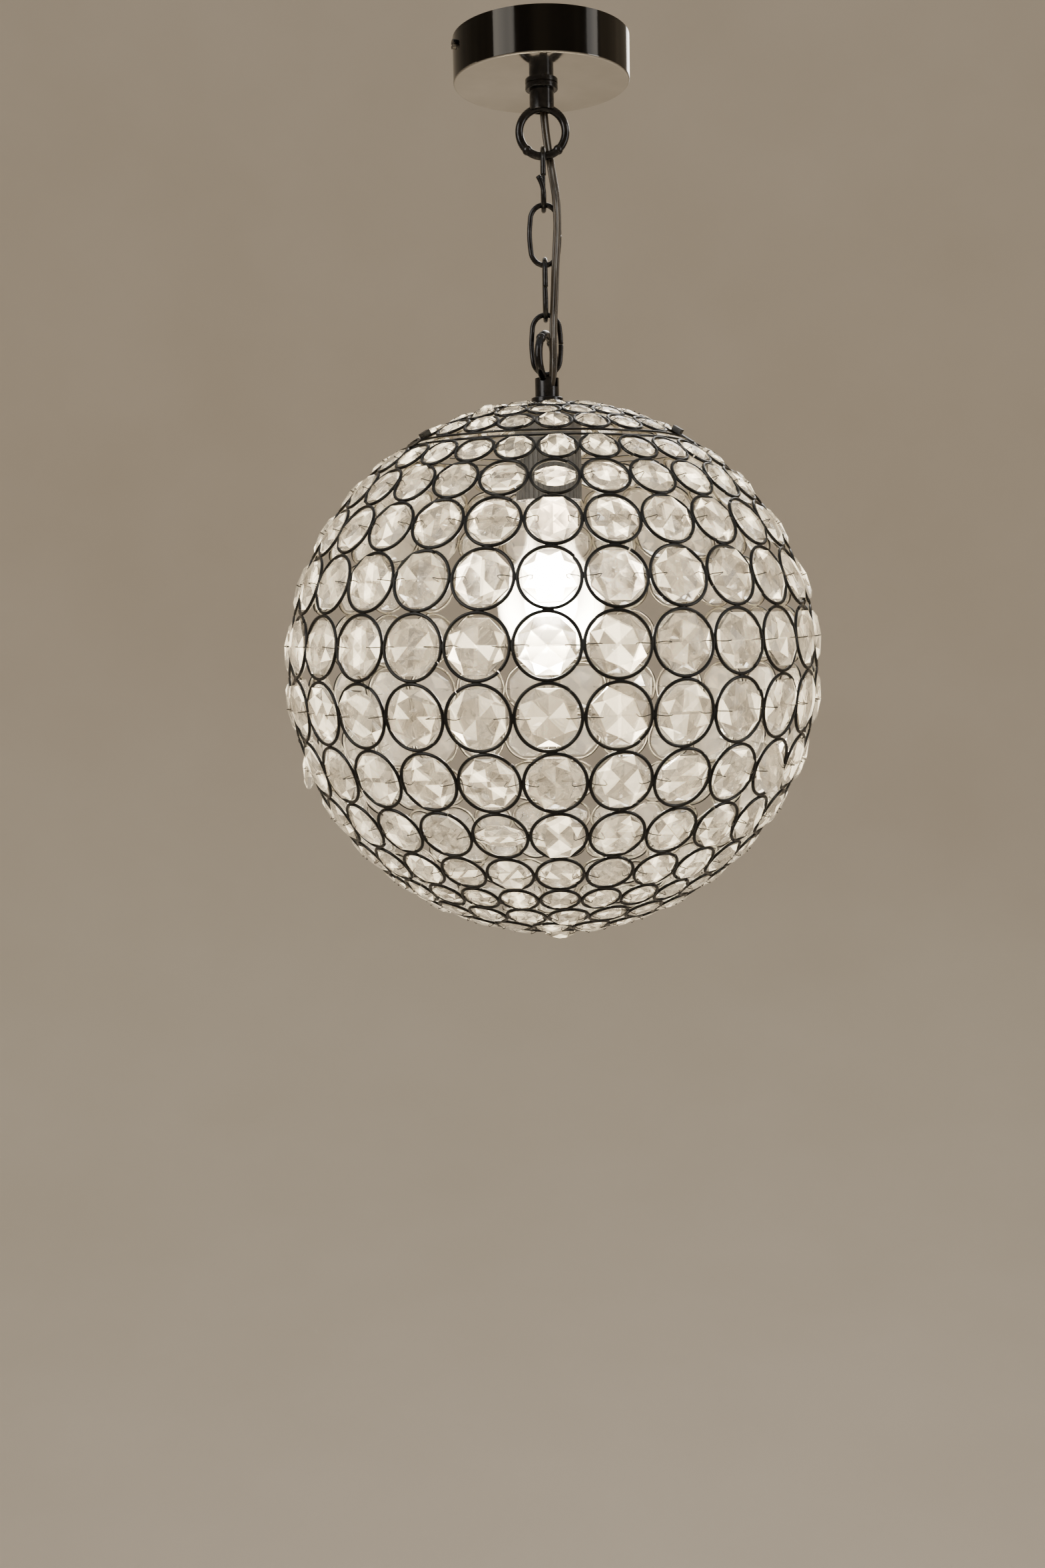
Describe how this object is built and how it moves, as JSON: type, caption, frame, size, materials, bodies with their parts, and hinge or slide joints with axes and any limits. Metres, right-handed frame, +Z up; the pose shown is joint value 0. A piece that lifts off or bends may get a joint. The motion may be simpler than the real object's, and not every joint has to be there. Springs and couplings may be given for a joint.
{
  "type": "pendant lamp",
  "caption": "Round pendant lamp: a globe of soldered wire rings holding cut crystals round a lit bulb, on a short chain and flex from a chrome ceiling cup.",
  "frame": {"origin": "centre of the ceiling cup's rim, in the plane of the ceiling", "axes": "+Z up through the lamp's axis, -Y towards the front, +X to the right"},
  "size_m": [0.304, 0.304, 0.4939],
  "materials": {
    "chrome": "polished chrome plate",
    "zinc_steel": "zinc-plated steel",
    "black_nickel": "glossy black nickel",
    "brass": "machined",
    "block_plastic": "moulded nylon",
    "flex_sheath": "clear-brown PVC two-core flex",
    "black_wire": "semi-gloss black on soldered wire",
    "crystal": "clear cut crystal",
    "hook_wire": "thin dark wire",
    "holder_plastic": "dark ribbed bakelite",
    "holder_white": "white moulded core",
    "bulb_glass": "opal, lit",
    "bulb_metal": "rolled screw cap",
    "tip_insulator": "black glass insulator"
  },
  "bodies": {
    "canopy": {"canopy_cup": "chrome", "ceiling_bar": "zinc_steel", "side_screws": "chrome", "upper_nipple": "zinc_steel", "upper_washer": "zinc_steel", "upper_locknut": "zinc_steel", "terminal_block": "block_plastic", "terminal_screws": "brass", "upper_loop": "black_nickel", "flex_1": "flex_sheath"},
    "link_1": {"link_1": "black_nickel", "flex_2": "flex_sheath"},
    "link_2": {"link_2": "black_nickel", "flex_3": "flex_sheath"},
    "link_3": {"link_3": "black_nickel", "flex_4": "flex_sheath"},
    "link_4": {"link_4": "black_nickel"},
    "cap": {"cap_crystal_hooks": "hook_wire", "cap_crystals": "crystal", "cap_hoop": "black_wire", "cap_plate": "black_wire", "cap_ring_row_1": "black_wire", "cap_ring_row_2": "black_wire", "cap_ring_row_3": "black_wire", "spring_clips": "black_wire", "lower_loop": "black_nickel", "lamp_nipple": "zinc_steel", "lamp_locknut": "zinc_steel", "holder_cap": "holder_plastic", "holder_shell": "holder_plastic", "holder_core": "holder_white", "screw_sleeve": "brass", "centre_contact": "brass", "flex_5": "flex_sheath"},
    "globe": {"bottom_crystals": "crystal", "bottom_hoop": "black_wire", "crystals_size_1": "crystal", "crystals_size_2": "crystal", "crystals_size_3": "crystal", "crystals_size_4": "crystal", "crystals_size_5": "crystal", "globe_hoop": "black_wire", "globe_ring_row_01": "black_wire", "globe_ring_row_02": "black_wire", "globe_ring_row_03": "black_wire", "globe_ring_row_04": "black_wire", "globe_ring_row_05": "black_wire", "globe_ring_row_06": "black_wire", "globe_ring_row_07": "black_wire", "globe_ring_row_08": "black_wire", "globe_ring_row_09": "black_wire", "globe_ring_row_10": "black_wire", "globe_ring_row_11": "black_wire", "globe_ring_row_12": "black_wire", "globe_ring_row_13": "black_wire", "lower_crystal_hooks": "hook_wire", "upper_crystal_hooks": "hook_wire"},
    "bulb": {"bulb_glass": "bulb_glass", "bulb_screw_cap": "bulb_metal", "bulb_tip": "tip_insulator"}
  },
  "joints": [
    {"name": "link_1_swing", "type": "hinge", "parent": "canopy", "child": "link_1", "pos_m": [0, 0, -0.0618], "axis": [1, 0, 0], "range_deg": [-35, 35], "deforming": ["flex_1"]},
    {"name": "link_2_swing", "type": "hinge", "parent": "link_1", "child": "link_2", "pos_m": [0, 0, -0.0907], "axis": [0, 1, 0], "range_deg": [-35, 35], "deforming": ["flex_2"]},
    {"name": "link_3_swing", "type": "hinge", "parent": "link_2", "child": "link_3", "pos_m": [0, 0, -0.1204], "axis": [1, 0, 0], "range_deg": [-35, 35], "deforming": ["flex_3"]},
    {"name": "link_4_swing", "type": "hinge", "parent": "link_3", "child": "link_4", "pos_m": [0, 0, -0.1501], "axis": [0, 1, 0], "range_deg": [-35, 35], "deforming": ["flex_4"]},
    {"name": "lamp_swing", "type": "hinge", "parent": "link_4", "child": "cap", "pos_m": [0, 0, -0.1798], "axis": [1, 0, 0], "range_deg": [-25, 25], "deforming": ["flex_5"]},
    {"name": "globe_release", "type": "slide", "parent": "cap", "child": "globe", "axis": [0, 0, -1], "range_m": [0, 0.18], "deforming": ["spring_clips"]},
    {"name": "bulb_unscrew", "type": "slide", "parent": "cap", "child": "bulb", "axis": [0, 0, -1], "range_m": [0, 0.04]}
  ]
}
